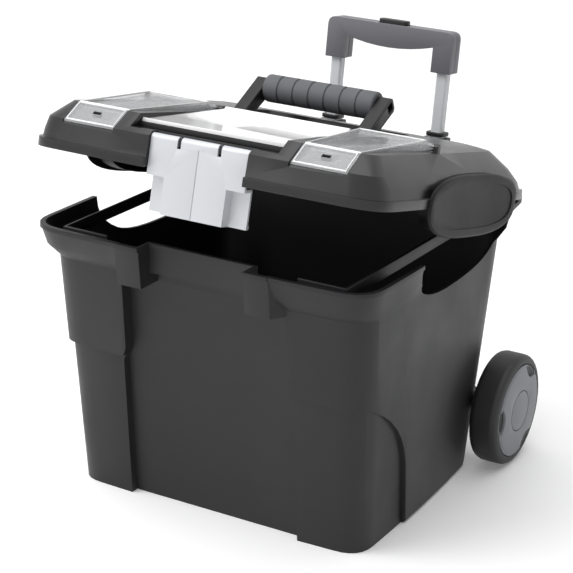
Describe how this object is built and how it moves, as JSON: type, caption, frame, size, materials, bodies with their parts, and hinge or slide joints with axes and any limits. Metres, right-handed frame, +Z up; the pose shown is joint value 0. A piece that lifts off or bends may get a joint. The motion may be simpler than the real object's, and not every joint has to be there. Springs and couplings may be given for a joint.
{
  "type": "mobile file cart",
  "caption": "Wheeled file cart: tapered tub with side scoops, hinged organiser lid with clear covers, a front latch and a carry handle, and a telescoping pull handle at the back.",
  "frame": {"origin": "on the floor under the middle of the tub, in the plane of its flat underside", "axes": "+X to the right seen from the front, +Y to the back where the pull handle is, +Z up"},
  "size_m": [0.411, 0.419, 0.4464],
  "materials": {
    "black_plastic": "moulded black polypropylene, fine satin",
    "latch_plastic": "silver-grey moulded plastic",
    "clear_plastic": "clear moulded plastic",
    "grip_rubber": "dark grey soft rubber",
    "tube_aluminium": "bright anodised aluminium",
    "steel": "plain steel",
    "wheel_plastic": "black wheel with a soft tread",
    "hub_plastic": "grey moulded plastic",
    "grip_plastic": "charcoal moulded plastic"
  },
  "bodies": {
    "bin": {"tub": "black_plastic", "left_rail": "black_plastic", "right_rail": "black_plastic", "left_hinge_pin": "steel", "right_hinge_pin": "steel", "axle": "steel", "left_axle_nut": "steel", "right_axle_nut": "steel", "left_axle_bush": "black_plastic", "right_axle_bush": "black_plastic", "left_outer_tube": "tube_aluminium", "right_outer_tube": "tube_aluminium", "left_outer_collar": "black_plastic", "right_outer_collar": "black_plastic", "lower_bracket": "black_plastic", "upper_bracket": "black_plastic"},
    "lid": {"lid_shell": "black_plastic", "left_end_cap": "black_plastic", "right_end_cap": "black_plastic", "cover_rod": "steel", "latch_pin": "steel", "left_carry_pin": "steel", "right_carry_pin": "steel"},
    "latch": {"latch": "latch_plastic"},
    "left_cover": {"left_cover": "clear_plastic"},
    "right_cover": {"right_cover": "clear_plastic"},
    "centre_cover": {"centre_cover": "clear_plastic"},
    "carry": {"carry_handle": "black_plastic", "carry_grip": "grip_rubber"},
    "pull_middle": {"left_middle_tube": "tube_aluminium", "right_middle_tube": "tube_aluminium", "left_middle_collar": "black_plastic", "right_middle_collar": "black_plastic"},
    "pull_upper": {"left_inner_tube": "tube_aluminium", "right_inner_tube": "tube_aluminium", "pull_grip_front": "grip_plastic", "pull_grip_rear": "grip_plastic", "release_spring": "steel"},
    "release": {"release_button": "black_plastic", "release_yoke": "black_plastic", "left_push_rod": "steel", "right_push_rod": "steel"},
    "left_wheel": {"left_wheel": "wheel_plastic", "left_hub_cap": "hub_plastic"},
    "right_wheel": {"right_wheel": "wheel_plastic", "right_hub_cap": "hub_plastic"}
  },
  "joints": [
    {"name": "lid_hinge", "type": "hinge", "parent": "bin", "child": "lid", "pos_m": [0, 0.178, 0.292], "axis": [-1, 0, 0], "range_deg": [-12.3, 50]},
    {"name": "latch_hinge", "type": "hinge", "parent": "lid", "child": "latch", "pos_m": [0, -0.16743, 0.3929], "axis": [-1, 0, 0], "range_deg": [-3.5, 95]},
    {"name": "left_cover_hinge", "type": "hinge", "parent": "lid", "child": "left_cover", "pos_m": [0, -0.0099, 0.38312], "axis": [-1, 0, 0], "range_deg": [0, 100]},
    {"name": "right_cover_hinge", "type": "hinge", "parent": "lid", "child": "right_cover", "pos_m": [0, -0.0099, 0.38312], "axis": [-1, 0, 0], "range_deg": [0, 100]},
    {"name": "centre_cover_hinge", "type": "hinge", "parent": "lid", "child": "centre_cover", "pos_m": [0, -0.0099, 0.38312], "axis": [-1, 0, 0], "range_deg": [0, 75]},
    {"name": "carry_pivot", "type": "hinge", "parent": "lid", "child": "carry", "pos_m": [0, 0.00795, 0.36643], "axis": [1, 0, 0], "range_deg": [-30, 62]},
    {"name": "middle_slide", "type": "slide", "parent": "bin", "child": "pull_middle", "axis": [0, 0.1132, 0.9936], "range_m": [0, 0.2]},
    {"name": "upper_slide", "type": "slide", "parent": "pull_middle", "child": "pull_upper", "axis": [0, 0.1132, 0.9936], "range_m": [-0.06, 0.14]},
    {"name": "button_press", "type": "slide", "parent": "pull_upper", "child": "release", "axis": [0, -0.1132, -0.9936], "range_m": [0, 0.004], "stiffness_N_per_m": 400, "springref_m": -0.004, "deforming": ["release_spring"]},
    {"name": "left_wheel_spin", "type": "hinge", "parent": "bin", "child": "left_wheel", "pos_m": [-0.17115, 0.15329, 0.0605], "axis": [1, 0, 0], "continuous": true},
    {"name": "right_wheel_spin", "type": "hinge", "parent": "bin", "child": "right_wheel", "pos_m": [0.17115, 0.15329, 0.0605], "axis": [1, 0, 0], "continuous": true}
  ]
}
